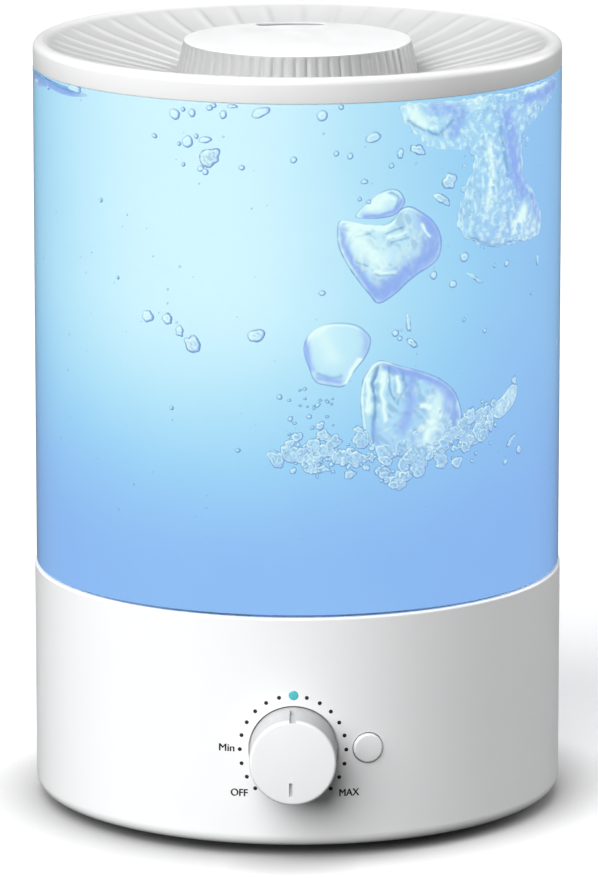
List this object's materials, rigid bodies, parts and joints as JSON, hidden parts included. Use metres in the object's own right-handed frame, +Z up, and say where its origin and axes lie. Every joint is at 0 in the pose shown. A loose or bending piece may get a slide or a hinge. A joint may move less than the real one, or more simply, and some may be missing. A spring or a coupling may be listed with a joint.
{
  "type": "cool mist humidifier",
  "caption": "Round desktop ultrasonic humidifier with a clear blue lift-off water tank, dished lid, turning mist cap, mist dial, lamp button and float switch in a white base.",
  "frame": {"origin": "on the floor, in the middle of the whole object's box; the body's own vertical axis stands 9 mm behind it because the dial knob sticks out in front", "axes": "+Z up, -Y is the front with the dial knob, +X is to the right when facing the front"},
  "size_m": [0.1872, 0.2052, 0.2725],
  "materials": {
    "white_shell": "satin gloss moulded ABS",
    "clear_tank": "clear blue tinted plastic",
    "white_inner": "matt moulded polypropylene",
    "grey_rubber": "matt rubber",
    "clear_silicone": "milky silicone",
    "steel": "zinc plated steel",
    "brass": "turned brass",
    "aluminium": "plain aluminium",
    "ceramic": "glazed piezo ceramic",
    "board": "solder-masked circuit board",
    "black_plastic": "matt black plastic",
    "lamp": "lit teal lamp lens",
    "foam": "closed cell foam",
    "lead": "insulated hook-up wire",
    "print": "pad printed dial marks",
    "water": "clear water with air bubbles"
  },
  "bodies": {
    "base": {"base_housing": "white_shell", "water_trough": "white_inner", "mist_chamber": "white_inner", "air_riser": "white_inner", "bottom_cover": "white_inner", "foot_1": "grey_rubber", "foot_2": "grey_rubber", "foot_3": "grey_rubber", "foot_4": "grey_rubber", "cover_screw_1": "steel", "cover_screw_2": "steel", "cover_screw_3": "steel", "cover_screw_4": "steel", "transducer_disc": "ceramic", "transducer_seal": "grey_rubber", "transducer_clamp": "aluminium", "clamp_screw_1": "steel", "clamp_screw_2": "steel", "driver_board": "board", "heat_sink": "aluminium", "fan_frame": "black_plastic", "fan_screw_1": "steel", "fan_screw_2": "steel", "air_duct": "white_inner", "pot_body": "black_plastic", "pot_nut": "brass", "switch_body": "black_plastic", "lamp_lens": "lamp", "lamp_led": "ceramic", "control_board": "board", "dc_inlet": "black_plastic", "transducer_lead": "lead", "fan_lead": "lead", "inlet_lead": "lead", "float_retainer": "white_inner", "float_sensor": "black_plastic"},
    "tank": {"tank_shell": "clear_tank", "tank_floor": "clear_tank", "mist_chimney": "clear_tank", "chimney_nut": "white_inner", "chimney_seal": "clear_silicone", "valve_cage": "white_inner", "valve_gasket": "clear_silicone", "valve_spring": "steel"},
    "valve": {"valve_plunger": "white_inner", "valve_seal": "grey_rubber"},
    "lid": {"lid_cover": "white_shell", "lid_gasket": "clear_silicone"},
    "cap": {"mist_cap": "white_shell", "drip_baffle": "white_inner"},
    "knob": {"mist_knob": "white_shell", "pot_shaft": "aluminium"},
    "button": {"lamp_button": "white_shell"},
    "float": {"float_ring": "foam", "float_magnet": "steel"},
    "fan": {"fan_rotor": "black_plastic", "fan_shaft": "steel"}
  },
  "joints": [
    {"name": "tank_lift", "type": "slide", "parent": "base", "child": "tank", "axis": [0, 0, 1], "range_m": [0, 0.06]},
    {"name": "valve_close", "type": "slide", "parent": "tank", "child": "valve", "axis": [0, 0, -1], "range_m": [0, 0.0032], "deforming": ["valve_spring"]},
    {"name": "lid_lift", "type": "slide", "parent": "tank", "child": "lid", "axis": [0, 0, 1], "range_m": [0, 0.03]},
    {"name": "cap_turn", "type": "hinge", "parent": "lid", "child": "cap", "pos_m": [0, 0.009, 0.266], "axis": [0, 0, 1], "continuous": true},
    {"name": "knob_turn", "type": "hinge", "parent": "base", "child": "knob", "pos_m": [0, -0.09, 0.0386], "axis": [0, 1, 0], "range_deg": [-135, 135]},
    {"name": "button_press", "type": "slide", "parent": "base", "child": "button", "axis": [-0.274, 0.9617, 0], "range_m": [0, 0.0012], "stiffness_N_per_m": 500},
    {"name": "float_rise", "type": "slide", "parent": "base", "child": "float", "axis": [0, 0, 1], "range_m": [0, 0.01]},
    {"name": "fan_spin", "type": "hinge", "parent": "base", "child": "fan", "pos_m": [0, 0.059, 0.016], "axis": [0, 0, 1], "continuous": true}
  ],
  "couplings": [
    {"joint": "valve_close", "follows": "tank_lift", "ratio": 0.0533}
  ]
}
